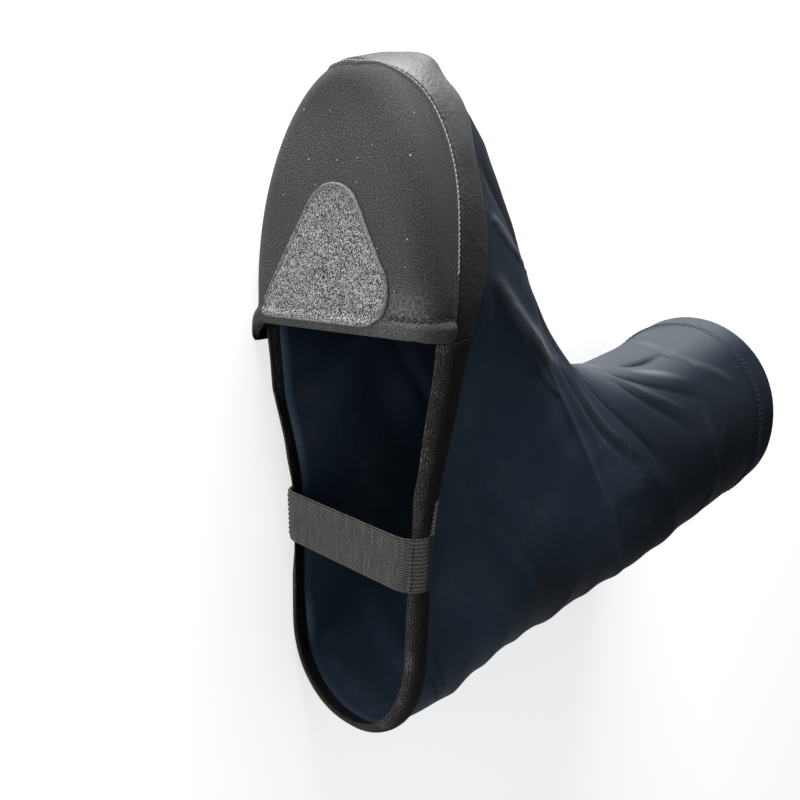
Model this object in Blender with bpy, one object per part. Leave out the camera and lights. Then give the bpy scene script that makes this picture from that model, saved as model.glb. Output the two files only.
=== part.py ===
"""A rain overshoe for the left foot with a tall shaft, lying on its inner side.

Every piece is worked out in the shoe's own frame, in millimetres: x runs from the back of the heel
to the toe, y towards the outer side and z up from the sole. One form, a last with a leg on it, gives
the place of every point: `turn` goes round the shoe (0 at the heel, pi at the toe) and `girth` goes
from the edge of the underside up the side to the collar. Each piece is a layer between two offsets
from that form. An empty then lays the finished shoe on its inner side.
"""

import math

import bpy
import numpy as np
from mathutils import Matrix

MM = 0.001
SEAT_GAP = 0.3                     # between pieces that are sewn together

# The form: its length, toe spring and the round along the edge of the sole
EDGE_RADIUS = 8.0
EDGE_ARC = EDGE_RADIUS * math.pi / 2
SPRING_START = 205.0
SPRING_END = 309.0
TOE_SPRING = 14.0
HEEL_BLUNT = 2.2
WAIST_SHARES = (0.17, 0.45)        # share of the length over which the heel passes into the waist
BALL_SHARES = {"lat": (0.40, 0.70), "med": (0.36, 0.65)}    # and the waist into the ball
HEEL_SWING = 0.35                  # share of the length that swings inwards behind the waist
TOE_SWING = 0.5                    # and in front of it
LIFT_LEVELS = (12.0, 42.0)         # levels over which the toe's lift passes from the sole to the vamp

# Level sections of the form: half widths to the outer (lat) and inner (med) side
SECTION_COLUMNS = (
    "level", "rise", "back", "front", "heel_lat", "heel_med", "waist_lat", "waist_med",
    "ball_lat", "ball_med", "cap_back", "cap_front", "heel_in", "toe_in", "blunt",
)
SECTIONS = np.array((
    (8, 14, -2, 306, 37.5, 41, 42.5, 39.5, 58, 55.5, 50, 130, -5.5, -1.5, 2.05),
    (25, 14, -4.5, 308.5, 37.5, 41, 42.5, 39.5, 57.5, 55.5, 50, 128, -5.5, -1.5, 2.05),
    (42, 14, -4, 306, 37, 40.5, 41.5, 40, 53, 53.5, 50, 123, -5, -2.5, 2.1),
    (58, 10, -1, 293, 37.5, 40.5, 41, 40.5, 51, 51, 51, 124, -4, -3, 2.1),
    (80, 5, 2, 264, 39, 41, 41, 42, 48, 48, 55, 120, -3, -2, 2.1),
    (102, 2, 5, 225, 40, 41, 42, 43, 45, 45, 60, 104, -2, -1, 2.0),
    (128, 1, 7, 186, 42, 43, 44, 45, 45, 45, 66, 88, -1, 0, 2.0),
    (160, 0, 10, 156, 46, 47, 47, 48, 47, 48, 74, 78, 0, 0, 2.0),
    (205, 0, 14, 141, 51, 52, 51, 52, 51, 52, 64, 64, 0, 0, 2.0),
    (265, 0, 22, 143, 55, 56, 55, 56, 55, 56, 61, 61, 0, 0, 2.0),
    (335, 0, 32, 151, 58, 59, 58, 59, 58, 59, 60, 60, 0, 0, 2.0),
), float)

# Edge lines: the level of each line at a distance along the shoe
HEM_AT = 194.0                     # rear edge of the half sole
UPPER_FOOT = np.array(((-10, 8), (150, 8), (185, 8.5), (194, 9), (215, 14), (235, 18), (255, 21),
                       (275, 21), (290, 18), (299, 12), (305, 4)), float)
COVER_TOP = np.array(((-10, 12), (32, 11), (54, 11), (76, 11), (102, 9.5), (119, 12), (136, 15.5), (155, 18),
                      (174, 18.5), (189, 19.5), (199, 21.5), (207, 25), (217, 29), (231, 32), (249, 33.5),
                      (261, 34), (270, 35.5), (280, 38.5), (292, 40), (306, 40)), float)
UPPER_LEVELS = (46, 58, 70, 82, 94, 106, 118, 132, 148, 166, 188, 214, 244, 278)
COLLAR_HEM = 22.0                  # depth of the turned hem at the collar
COLLAR_LEVEL = 335.0

# The band's rolled edge under the sole: its girth at a distance along the shoe
BAND_LIP = np.array(((-10, 4), (20, 4.5), (37, 5.3), (78, 5.6), (123, 6.1), (139, 7.3), (194, 7.5)), float)

# Layers: offsets from the form
UPPER_WALL = 1.2
COLLAR_WALL = 2.2
COVER_IN = UPPER_WALL + SEAT_GAP   # rand and band lie on the upper
RAND_OUT = 3.2
SOLE_WALL = 2.6
SOLE_LIP = RAND_OUT                # seam allowance raised along the half sole's edge
SOLE_LIP_WIDTH = 2.5
SOLE_HEM_SWELL = 1.8               # the folded rear hem stands proud of the half sole
BAND_OUT = 3.6
BAND_EDGE_OUT = 2.4
BAND_PRESS = 1.2                   # the strap presses the band in by this
BAND_PRESSED = (64.0, 82.0, 113.0, 131.0)    # from where, with full depth from and to where, and up to where
STRAP_GAP = 0.4                    # the strap's ends lie this far from the band
STRAP_IN = BAND_OUT - BAND_PRESS + STRAP_GAP
STRAP_WALL = 1.5
STRAP_LAT = (81.0, 107.0)          # rear and front edge of the arch strap on the outer side
STRAP_MED = (88.0, 113.0)          # and on the inner side
STRAP_TOP = 8.0                    # level at which its ends are sewn
PATCH_WALL = 1.3
PATCH_CORNERS = ((272.5, 3.5), (198.0, -50.5), (198.5, 45.8))
PATCH_ROUND = (18.0, 5.0, 15.5)    # corner radii of the grip patch

# How finely the form is divided
REAR_TURNS = 42
FRONT_TURNS = 30
COVER_STEPS = 4
EDGE_STEPS = 4
BAND_STEPS = 6
ACROSS_STEPS = 8
STRAP_LINES = 5
PATCH_CORNER_STEPS = 4
PATCH_EDGE_STEPS = 7
PATCH_RINGS = 5

# Lying on the inner side: the spots that meet the floor, and how far they are pressed flat
REST_BALL = (222.0, 28.0)          # distance along the shoe and level
REST_HEEL = (32.0, 10.0)
REST_COLLAR_TURN = -math.pi / 2
PRESS = 1.3
BAND_REACH = (150.0, 190.0)        # the band hands over to the rand between these
SHAFT_FROM = 100.0


def smooth(share):
    """An even step from 0 to 1."""
    share = min(max(share, 0.0), 1.0)
    return share * share * (3 - 2 * share)


def through(table, place):
    """A row of the table at a place in its first column, on a smooth curve through the rows."""
    places = table[:, 0]
    place = min(max(place, places[0]), places[-1])
    low = min(int(np.searchsorted(places, place, side="right")) - 1, len(places) - 2)

    def slope(row):
        before, after = max(row - 1, 0), min(row + 1, len(places) - 1)
        return (table[after] - table[before]) / (places[after] - places[before])

    width = places[low + 1] - places[low]
    s = (place - places[low]) / width
    ends = (1 + 2 * s) * (1 - s) ** 2 * table[low] + s * s * (3 - 2 * s) * table[low + 1]
    return ends + s * (1 - s) * width * ((1 - s) * slope(low) - s * slope(low + 1))


def section(level):
    """The form's section at a level."""
    return dict(zip(SECTION_COLUMNS, through(SECTIONS, level)))


def end_cap(depth, length, blunt):
    """How far the outline has opened at a depth from its end."""
    share = min(max(depth / length, 0.0), 1.0)
    return max(1 - (1 - share) ** blunt, 0.0) ** (1 / blunt)


def outline(row, turn):
    """A point of a section's outline, and its share of the length."""
    share = (1 - math.cos(turn)) / 2
    side = "lat" if math.sin(turn) >= 0 else "med"
    x = row["back"] + (row["front"] - row["back"]) * share
    into_waist = smooth((share - WAIST_SHARES[0]) / (WAIST_SHARES[1] - WAIST_SHARES[0]))
    ball_start, ball_end = BALL_SHARES[side]
    into_ball = smooth((share - ball_start) / (ball_end - ball_start))
    half = row["heel_" + side]
    half += (row["waist_" + side] - row["heel_" + side]) * into_waist
    half += (row["ball_" + side] - row["waist_" + side]) * into_ball
    half *= end_cap(x - row["back"], row["cap_back"], HEEL_BLUNT)
    half *= end_cap(row["front"] - x, row["cap_front"], row["blunt"])
    swing = row["toe_in"] * smooth((share - TOE_SWING) / (1 - TOE_SWING))
    swing += row["heel_in"] * smooth((HEEL_SWING - share) / HEEL_SWING)
    return x, (half if side == "lat" else -half) + swing, share


def spring(x):
    """Lift of the underside towards the toe."""
    return TOE_SPRING * max((x - SPRING_START) / (SPRING_END - SPRING_START), 0.0) ** 2


def form_point(turn, girth):
    """A point of the form; a girth below 0 lies on the underside."""
    level, inset = 0.0, EDGE_RADIUS - girth
    if girth >= EDGE_ARC:
        level, inset = EDGE_RADIUS + girth - EDGE_ARC, 0.0
    elif girth >= 0:
        angle = girth / EDGE_RADIUS
        level, inset = EDGE_RADIUS * (1 - math.cos(angle)), EDGE_RADIUS * (1 - math.sin(angle))
    row = section(max(level, EDGE_RADIUS))
    x, y, share = outline(row, turn)
    if inset:
        before, after = outline(row, turn - 0.01), outline(row, turn + 0.01)
        run = (after[0] - before[0], after[1] - before[1])
        x += inset * run[1] / math.hypot(*run)
        y -= inset * run[0] / math.hypot(*run)
    to_vamp = smooth((level - LIFT_LEVELS[0]) / (LIFT_LEVELS[1] - LIFT_LEVELS[0]))
    lift = (1 - to_vamp) * spring(x) + to_vamp * row["rise"] * share ** 2
    return np.array((x, y, level + lift))


def form_normal(turn, girth):
    """The outward direction of the form."""
    along = form_point(turn + 0.012, girth) - form_point(turn - 0.012, girth)
    upward = form_point(turn, girth + 0.6) - form_point(turn, girth - 0.6)
    normal = np.cross(upward, along)
    return normal / np.linalg.norm(normal)


def girth_at(level):
    """The girth of a level on the side of the form."""
    if level >= EDGE_RADIUS:
        return EDGE_ARC + level - EDGE_RADIUS
    return EDGE_RADIUS * math.acos(1 - level / EDGE_RADIUS)


def along_shoe(turn):
    """Distance along the shoe at a turn, on the lowest section."""
    return outline(section(EDGE_RADIUS), turn)[0]


def turn_at(x):
    """The turn on the outer side at a distance along the shoe."""
    row = section(EDGE_RADIUS)
    return math.acos(1 - 2 * (x - row["back"]) / (row["front"] - row["back"]))


def edge_girth(table, turn):
    """The girth of an edge line."""
    return girth_at(through(table, along_shoe(turn))[1])


def layer_point(turn, girth, offset):
    """A point of a layer before the shoe is laid down."""
    return form_point(turn, girth) + offset * form_normal(turn, girth)


def resting_floor():
    """A point of the floor and its upward direction, from the three spots that the shoe lies on."""
    ball = layer_point(-turn_at(REST_BALL[0]), girth_at(REST_BALL[1]), RAND_OUT)
    heel = layer_point(-turn_at(REST_HEEL[0]), girth_at(REST_HEEL[1]), BAND_OUT)
    collar = layer_point(REST_COLLAR_TURN, girth_at(COLLAR_LEVEL), COLLAR_WALL)
    up = np.cross(collar - heel, ball - heel)
    up *= math.copysign(1.0, up[1]) / np.linalg.norm(up)
    return ball + PRESS * up, up


FLOOR_POINT, FLOOR_UP = resting_floor()


def outermost(x, level):
    """Offset of the layer that meets the floor there."""
    if level > SHAFT_FROM:
        return COLLAR_WALL
    to_rand = smooth((x - BAND_REACH[0]) / (BAND_REACH[1] - BAND_REACH[0]))
    return BAND_OUT + (RAND_OUT - BAND_OUT) * to_rand


def settle(point, offset):
    """Press a point of a layer flat where it would sink into the floor."""
    rest = max(outermost(point[0], point[2]) - offset, 0.0)
    height = float(np.dot(point - FLOOR_POINT, FLOOR_UP))
    return point + max(rest - height, 0.0) * FLOOR_UP


def layer(turn, girth, offset):
    """A point of a layer of the lying shoe."""
    return settle(layer_point(turn, girth, offset), offset)


def under_point(x, y, offset):
    """A point of a layer of the flat underside."""
    slope = 2 * TOE_SPRING * max(x - SPRING_START, 0.0) / (SPRING_END - SPRING_START) ** 2
    normal = np.array((slope, 0.0, -1.0)) / math.hypot(slope, 1.0)
    return settle(np.array((x, y, spring(x))) + offset * normal, offset)


class Skin:
    """Triangles over shared corners, gathered in the shoe's frame."""

    def __init__(self):
        self.corners = []
        self.numbers = {}
        self.faces = []

    def corner(self, point):
        key = tuple(round(float(value), 4) for value in point)
        if key not in self.numbers:
            self.numbers[key] = len(self.corners)
            self.corners.append([value * MM for value in key])
        return self.numbers[key]

    def triangle(self, *points):
        face = [self.corner(point) for point in points]
        if len(set(face)) == 3:
            self.faces.append(face)

    def quad(self, a, b, c, d):
        self.triangle(a, b, c)
        self.triangle(a, c, d)

    def strip(self, line, next_line):
        for step in range(len(line) - 1):
            self.quad(line[step], next_line[step], next_line[step + 1], line[step + 1])

    def wall(self, columns, closed):
        """A wall of (outer line, inner line) columns; an open wall gets end faces."""
        following = columns[1:] + columns[:1] if closed else columns[1:]
        for (outer, inner), (next_outer, next_inner) in zip(columns, following):
            self.strip(outer, next_outer)
            self.strip(inner, next_inner)
            for end in (0, -1):
                self.quad(outer[end], inner[end], next_inner[end], next_outer[end])
        if not closed:
            self.strip(*columns[0])
            self.strip(*columns[-1])


def material(name, colour, roughness):
    """A plain finish."""
    finish = bpy.data.materials.new(name)
    finish.use_nodes = True
    shader = finish.node_tree.nodes["Principled BSDF"]
    shader.inputs["Base Color"].default_value = (*colour, 1.0)
    shader.inputs["Roughness"].default_value = roughness
    shader.inputs["Metallic"].default_value = 0.0
    return finish


def add_piece(name, skin, finish, parent):
    """Turn a skin into a named object with its faces outwards."""
    mesh = bpy.data.meshes.new(name)
    mesh.from_pydata(skin.corners, [], skin.faces)
    piece = bpy.data.objects.new(name, mesh)
    bpy.context.collection.objects.link(piece)
    bpy.context.view_layer.objects.active = piece
    piece.select_set(True)
    bpy.ops.object.mode_set(mode="EDIT")
    bpy.ops.mesh.select_all(action="SELECT")
    bpy.ops.mesh.normals_make_consistent(inside=False)
    bpy.ops.object.mode_set(mode="OBJECT")
    piece.select_set(False)
    mesh.shade_smooth()
    mesh.set_sharp_from_angle(angle=math.radians(40))
    mesh.materials.append(finish)
    piece.parent = parent
    return piece


HEM_TURN = turn_at(HEM_AT)
FRONT = [float(turn) for turn in np.linspace(HEM_TURN, 2 * math.pi - HEM_TURN, FRONT_TURNS + 1)]
REAR = [float(turn) for turn in np.linspace(-HEM_TURN, HEM_TURN, REAR_TURNS + 1)]
SOLE_HEM_START = along_shoe(FRONT[1])
COVER_SHARES = [step / COVER_STEPS for step in range(COVER_STEPS + 1)]
EDGE_GIRTHS = [EDGE_ARC * step / EDGE_STEPS for step in range(EDGE_STEPS + 1)]


def cover_girths(turn, foot):
    """Girths from the upper's foot line to the top of the rand or band."""
    low = edge_girth(UPPER_FOOT, turn) + foot
    high = edge_girth(COVER_TOP, turn)
    return [low + (high - low) * share for share in COVER_SHARES]


def upper_skin():
    """The coated cloth wall, open underneath and at the collar, with a thicker hem there."""
    hem_start = girth_at(COLLAR_LEVEL - COLLAR_HEM)
    collar = girth_at(COLLAR_LEVEL)
    columns = []
    for turn in REAR[:-1] + FRONT[:-1]:
        girths = cover_girths(turn, SEAT_GAP) + [girth_at(level) for level in UPPER_LEVELS]
        outer = [layer(turn, girth, UPPER_WALL) for girth in girths + [hem_start]]
        outer += [layer(turn, girth, COLLAR_WALL) for girth in (hem_start, collar)]
        inner = [layer(turn, girth, 0.0) for girth in girths + [hem_start, collar]]
        columns.append((outer, inner))
    skin = Skin()
    skin.wall(columns, closed=True)
    return skin


def rand_skin():
    """The toe rand: a crescent round the toe, between the sole seam and its top edge."""
    columns = []
    for turn in FRONT:
        girths = cover_girths(turn, SEAT_GAP)
        columns.append([[layer(turn, girth, offset) for girth in girths] for offset in (RAND_OUT, COVER_IN)])
    skin = Skin()
    skin.wall(columns, closed=False)
    return skin


def sole_offset(x):
    """Outer offset of the half sole, swelling evenly into its folded rear hem."""
    share = (SOLE_HEM_START - x) / (SOLE_HEM_START - HEM_AT)
    return SOLE_WALL + SOLE_HEM_SWELL * min(max(share, 0.0), 1.0)


def side_line(turn, inner):
    """One side of the half sole, from its seam lip down to the underside."""
    seam = edge_girth(UPPER_FOOT, turn)
    lip = seam - SOLE_LIP_WIDTH
    plain = 0.0 if inner else sole_offset(along_shoe(turn))
    raised = 0.0 if inner else max(SOLE_LIP, plain)
    girths = [lip * (1 - step / EDGE_STEPS) for step in range(EDGE_STEPS + 1)]
    return [layer(turn, seam, raised), layer(turn, lip, raised)] + [layer(turn, girth, plain) for girth in girths]


def sole_rung(step, inner):
    """A line across the half sole, from the outer seam to the inner one."""
    outer_turn, inner_turn = FRONT[step], FRONT[FRONT_TURNS - step]
    ends = form_point(outer_turn, 0.0), form_point(inner_turn, 0.0)
    across = []
    for share in np.linspace(0, 1, ACROSS_STEPS + 1)[1:-1]:
        x, y, _ = ends[0] + (ends[1] - ends[0]) * share
        across.append(under_point(x, y, 0.0 if inner else sole_offset(x)))
    if step == FRONT_TURNS // 2:
        across = [side_line(outer_turn, inner)[-1]] * len(across)
    return side_line(outer_turn, inner) + across + side_line(inner_turn, inner)[::-1]


def sole_skin():
    """The half sole: a tray under the forefoot that stops at a folded hem behind the ball."""
    columns = [(sole_rung(step, False), sole_rung(step, True)) for step in range(FRONT_TURNS // 2 + 1)]
    skin = Skin()
    for (outer, inner), (next_outer, next_inner) in zip(columns, columns[1:]):
        skin.strip(outer, next_outer)
        skin.strip(inner, next_inner)
        for end in (0, -1):
            skin.quad(outer[end], inner[end], next_inner[end], next_outer[end])
    skin.strip(*columns[0])
    return skin


def band_offset(x):
    """Outer offset of the band, less where the strap presses it."""
    start, full, full_end, end = BAND_PRESSED
    return BAND_OUT - BAND_PRESS * smooth((x - start) / (full - start)) * smooth((end - x) / (end - full_end))


def band_skin():
    """The soft stretch band round the rear opening, rolled under its edge."""
    shy = SEAT_GAP / (math.sin(HEM_TURN) * SPRING_END / 2)
    columns = []
    for turn in [REAR[0] + shy] + REAR[1:-1] + [REAR[-1] - shy]:
        lip, top = through(BAND_LIP, along_shoe(turn))[1], edge_girth(COVER_TOP, turn)
        girths = [lip + (top - lip) * step / BAND_STEPS for step in range(BAND_STEPS + 1)]
        face = band_offset(along_shoe(turn))
        edge = min(face, BAND_EDGE_OUT)
        outward = [edge] + [face] * (BAND_STEPS - 1) + [edge]
        outer = [layer(turn, girth, offset) for girth, offset in zip(girths, outward)]
        columns.append((outer, [layer(turn, girth, COVER_IN) for girth in girths]))
    skin = Skin()
    skin.wall(columns, closed=False)
    return skin


def strap_line(share, offset):
    """A lengthwise line of the strap, up one side, across under the arch and up the other."""
    outer_turn = turn_at(STRAP_LAT[0] + (STRAP_LAT[1] - STRAP_LAT[0]) * share)
    inner_turn = -turn_at(STRAP_MED[0] + (STRAP_MED[1] - STRAP_MED[0]) * share)
    girths = [girth_at(STRAP_TOP)] + EDGE_GIRTHS[-2::-1]
    sides = [[layer(turn, girth, offset) for girth in girths] for turn in (outer_turn, inner_turn)]
    start, end = sides[0][-1], sides[1][-1]
    across = [start + (end - start) * part for part in np.linspace(0, 1, ACROSS_STEPS + 1)[1:-1]]
    return sides[0] + across + sides[1][::-1]


def strap_skin():
    """The elastic arch strap."""
    shares = np.linspace(0, 1, STRAP_LINES)
    columns = [(strap_line(share, STRAP_IN + STRAP_WALL), strap_line(share, STRAP_IN)) for share in shares]
    skin = Skin()
    skin.wall(columns, closed=False)
    return skin


def rounded_outline(corners, radii):
    """A polygon with each corner turned by an arc and each side divided evenly."""
    points = []
    for number, radius in enumerate(radii):
        here = np.array(corners[number])
        back = np.array(corners[number - 1]) - here
        ahead = np.array(corners[(number + 1) % len(corners)]) - here
        back /= np.linalg.norm(back)
        ahead /= np.linalg.norm(ahead)
        half_angle = math.acos(float(np.dot(back, ahead))) / 2
        middle = (back + ahead) / np.linalg.norm(back + ahead)
        centre = here + middle * radius / math.sin(half_angle)
        first = here + back * radius / math.tan(half_angle) - centre
        last = here + ahead * radius / math.tan(half_angle) - centre
        sweep = math.pi - 2 * half_angle
        if points:
            points += list(np.linspace(points[-1], centre + first, PATCH_EDGE_STEPS + 1)[1:-1])
        for part in np.linspace(0, 1, PATCH_CORNER_STEPS + 1):
            weight = math.sin((1 - part) * sweep), math.sin(part * sweep)
            points.append(centre + (first * weight[0] + last * weight[1]) / math.sin(sweep))
    return points + list(np.linspace(points[-1], points[0], PATCH_EDGE_STEPS + 1)[1:-1])


def patch_skin():
    """The gritty grip patch: a round-cornered triangle sewn under the ball."""
    edge = rounded_outline(PATCH_CORNERS, PATCH_ROUND)
    centre = sum(edge) / len(edge)
    skin = Skin()
    rims = []
    for lift in (SEAT_GAP, SEAT_GAP + PATCH_WALL):
        rings = []
        for share in np.linspace(1, 0, PATCH_RINGS + 1):
            ring = [centre + (point - centre) * share for point in edge + edge[:1]]
            rings.append([under_point(x, y, sole_offset(x) + lift) for x, y in ring])
        for ring, next_ring in zip(rings, rings[1:]):
            skin.strip(ring, next_ring)
        rims.append(rings[0])
    skin.strip(*rims)
    return skin


def lay_down(pieces, carrier):
    """Lay the shoe on its inner side, over the middle of its own box."""
    away = np.array((1.0, 0.0, 0.0)) - FLOOR_UP[0] * FLOOR_UP
    away /= -np.linalg.norm(away)
    rotation = np.array((away, np.cross(FLOOR_UP, away), FLOOR_UP))
    corners = np.array([corner.co[:] for piece in pieces for corner in piece.data.vertices])
    laid = corners @ rotation.T
    shift = -(laid.min(axis=0) + laid.max(axis=0)) / 2
    shift[2] = -float(np.dot(FLOOR_POINT * MM, FLOOR_UP))
    matrix = np.eye(4)
    matrix[:3, :3] = rotation
    matrix[:3, 3] = shift
    carrier.matrix_world = Matrix(matrix.tolist())


def build():
    """Make the pieces in the order in which they are sewn together."""
    for old in list(bpy.data.objects):
        bpy.data.objects.remove(old, do_unlink=True)
    carrier = bpy.data.objects.new("overshoe", None)
    bpy.context.collection.objects.link(carrier)
    pieces = [
        add_piece("upper", upper_skin(), material("coated_cloth", (0.012, 0.019, 0.030), 0.5), carrier),
        add_piece("toe_rand", rand_skin(), material("rand_skin", (0.012, 0.012, 0.013), 0.45), carrier),
        add_piece("half_sole", sole_skin(), material("sole_knit", (0.030, 0.030, 0.032), 0.9), carrier),
        add_piece("grip_patch", patch_skin(), material("grit", (0.10, 0.10, 0.10), 0.95), carrier),
        add_piece("edge_band", band_skin(), material("stretch_band", (0.010, 0.010, 0.011), 0.9), carrier),
        add_piece("arch_strap", strap_skin(), material("elastic_web", (0.035, 0.035, 0.037), 0.85), carrier),
    ]
    lay_down(pieces, carrier)


build()
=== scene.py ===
import math

import bmesh
import bpy
import numpy as np
from mathutils import Matrix, Vector, noise


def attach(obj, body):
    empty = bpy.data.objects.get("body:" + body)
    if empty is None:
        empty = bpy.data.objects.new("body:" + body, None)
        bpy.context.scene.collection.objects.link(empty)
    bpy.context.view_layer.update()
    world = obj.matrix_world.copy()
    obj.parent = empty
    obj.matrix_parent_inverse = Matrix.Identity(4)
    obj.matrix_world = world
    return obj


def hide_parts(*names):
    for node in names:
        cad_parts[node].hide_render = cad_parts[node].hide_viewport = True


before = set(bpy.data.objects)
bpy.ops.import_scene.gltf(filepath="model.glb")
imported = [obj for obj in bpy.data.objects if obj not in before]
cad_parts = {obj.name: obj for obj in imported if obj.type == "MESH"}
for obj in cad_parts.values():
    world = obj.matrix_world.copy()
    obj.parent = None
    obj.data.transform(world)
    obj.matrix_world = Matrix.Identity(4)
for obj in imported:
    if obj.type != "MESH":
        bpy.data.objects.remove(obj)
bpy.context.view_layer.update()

# Upper
# The upper is a tall cover of navy coated nylon, cut wide and held in by the pieces sewn round its foot.
# Its wall is open underneath and at the collar, where the edge is turned in and sewn as a hem.
# Sizes are in millimetres in the shoe's own frame: x to the toe, y to the outer side, z to the collar.
MM = 0.001
SEAT_GAP = 0.3
EDGE_RADIUS = 8.0
EDGE_ARC = EDGE_RADIUS * math.pi / 2
SPRING_START, SPRING_END, TOE_SPRING = 205.0, 309.0, 14.0
HEEL_BLUNT = 2.2
WAIST_SHARES, BALL_SHARES_LAT, BALL_SHARES_MED = (0.17, 0.45), (0.40, 0.70), (0.36, 0.65)
HEEL_SWING, TOE_SWING = 0.35, 0.5
LIFT_LEVELS = (12.0, 42.0)
SECTION_COLUMNS = (
    "level", "rise", "back", "front", "heel_lat", "heel_med", "waist_lat", "waist_med",
    "ball_lat", "ball_med", "cap_back", "cap_front", "heel_in", "toe_in", "blunt",
)
SECTIONS = np.array((
    (8, 14, -2, 306, 37.5, 41, 42.5, 39.5, 58, 55.5, 50, 130, -5.5, -1.5, 2.05),
    (25, 14, -4.5, 308.5, 37.5, 41, 42.5, 39.5, 57.5, 55.5, 50, 128, -5.5, -1.5, 2.05),
    (42, 14, -4, 306, 37, 40.5, 41.5, 40, 53, 53.5, 50, 123, -5, -2.5, 2.1),
    (58, 10, -1, 293, 37.5, 40.5, 41, 40.5, 51, 51, 51, 124, -4, -3, 2.1),
    (80, 5, 2, 264, 39, 41, 41, 42, 48, 48, 55, 120, -3, -2, 2.1),
    (102, 2, 5, 225, 40, 41, 42, 43, 45, 45, 60, 104, -2, -1, 2.0),
    (128, 1, 7, 186, 42, 43, 44, 45, 45, 45, 66, 88, -1, 0, 2.0),
    (160, 0, 10, 156, 46, 47, 47, 48, 47, 48, 74, 78, 0, 0, 2.0),
    (205, 0, 14, 141, 51, 52, 51, 52, 51, 52, 64, 64, 0, 0, 2.0),
    (265, 0, 22, 143, 55, 56, 55, 56, 55, 56, 61, 61, 0, 0, 2.0),
    (335, 0, 32, 151, 58, 59, 58, 59, 58, 59, 60, 60, 0, 0, 2.0),
), float)
HEM_AT = 194.0
UPPER_FOOT = np.array(((-10, 8), (150, 8), (185, 8.5), (194, 9), (215, 14), (235, 18), (255, 21),
                       (275, 21), (290, 18), (299, 12), (305, 4)), float)
COVER_TOP = np.array(((-10, 12), (32, 11), (54, 11), (76, 11), (102, 9.5), (119, 12), (136, 15.5),
                      (155, 18), (174, 18.5), (189, 19.5), (199, 21.5), (207, 25), (217, 29), (231, 32),
                      (249, 33.5), (261, 34), (270, 35.5), (280, 38.5), (292, 40), (306, 40)), float)
COLLAR_LEVEL, COLLAR_HEM, COLLAR_HEM_STEP = 335.0, 22.0, 1.4
UPPER_WALL, COLLAR_WALL = 1.2, 2.2
COVER_IN = UPPER_WALL + SEAT_GAP
RAND_OUT, BAND_OUT = 3.2, 3.6
REST_BALL, REST_HEEL, REST_COLLAR_TURN = (222.0, 28.0), (32.0, 10.0), -math.pi / 2
PRESS, FLOOR_CLEAR = 1.3, 0.2
BAND_REACH = (150.0, 190.0)
SHAFT_FROM = 100.0
NEAR_TURN, NEAR_GIRTH = 0.012, 0.6      # small steps that slopes are taken over
HEEL_AT = (0.15287, -0.16542)      # where the shoe's own origin lies over the floor, in metres


def ramp(value, start, end):
    """An even rise from 0 at the start to 1 at the end."""
    share = np.clip((value - start) / (end - start), 0.0, 1.0)
    return share * share * (3 - 2 * share)


def through(table, place):
    """Rows of a table at places in its first column, on a smooth curve through its rows."""
    places = table[:, 0]
    count = len(places)
    order = np.arange(count)
    before, after = np.maximum(order - 1, 0), np.minimum(order + 1, count - 1)
    slopes = (table[after] - table[before]) / (places[after] - places[before])[:, None]
    place = np.clip(np.asarray(place, float), places[0], places[-1])
    low = np.clip(np.searchsorted(places, place, side="right") - 1, 0, count - 2)
    width = (places[low + 1] - places[low])[..., None]
    s = (place - places[low])[..., None] / width
    ends = (1 + 2 * s) * (1 - s) ** 2 * table[low] + s * s * (3 - 2 * s) * table[low + 1]
    return ends + s * (1 - s) * width * ((1 - s) * slopes[low] - s * slopes[low + 1])


def end_cap(depth, length, blunt):
    """How far a rounded end has opened at a depth from its tip; a bluntness of 2 is a true round."""
    share = np.clip(depth / length, 0.0, 1.0)
    return np.maximum(1 - (1 - share) ** blunt, 0.0) ** (1 / blunt)


def outline(level, turn):
    """Points of the form's outline at a level, their share of the length, and the lift there."""
    row = dict(zip(SECTION_COLUMNS, np.moveaxis(through(SECTIONS, level), -1, 0)))
    share = (1 - np.cos(turn)) / 2
    lateral = np.sin(turn) >= 0
    x = row["back"] + (row["front"] - row["back"]) * share
    heel, waist, ball = (
        np.where(lateral, row[n + "_lat"], row[n + "_med"]) for n in ("heel", "waist", "ball")
    )
    half = heel + (waist - heel) * ramp(share, *WAIST_SHARES)
    start, end = (np.where(lateral, lat, med) for lat, med in zip(BALL_SHARES_LAT, BALL_SHARES_MED))
    half = half + (ball - waist) * ramp(share, start, end)
    half = half * end_cap(x - row["back"], row["cap_back"], HEEL_BLUNT)
    half = half * end_cap(row["front"] - x, row["cap_front"], row["blunt"])
    swing = row["toe_in"] * ramp(share, TOE_SWING, 1.0)
    swing = swing + row["heel_in"] * ramp(share, HEEL_SWING, 0.0)
    return x, np.where(lateral, half, -half) + swing, share, row["rise"]


def spring(x):
    """Lift of the underside towards the toe."""
    return TOE_SPRING * np.maximum((x - SPRING_START) / (SPRING_END - SPRING_START), 0.0) ** 2


def form(turn, girth):
    """Points of the form that the shoe is shaped on; a girth below 0 lies on the underside."""
    turn, girth = np.broadcast_arrays(np.asarray(turn, float), np.asarray(girth, float))
    angle = np.clip(girth / EDGE_RADIUS, 0.0, math.pi / 2)
    level = EDGE_RADIUS * (1 - np.cos(angle)) + np.maximum(girth - EDGE_ARC, 0.0)
    inset = EDGE_RADIUS * (1 - np.sin(angle)) + np.maximum(-girth, 0.0)
    side = np.maximum(level, EDGE_RADIUS)
    x, y, share, rise = outline(side, turn)
    before, after = outline(side, turn - 0.01), outline(side, turn + 0.01)
    run = (after[0] - before[0], after[1] - before[1])
    x = x + inset * run[1] / np.hypot(*run)
    y = y - inset * run[0] / np.hypot(*run)
    to_vamp = ramp(level, *LIFT_LEVELS)
    lift = (1 - to_vamp) * spring(x) + to_vamp * rise * share ** 2
    return np.stack((x, y, level + lift), axis=-1)


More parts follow.
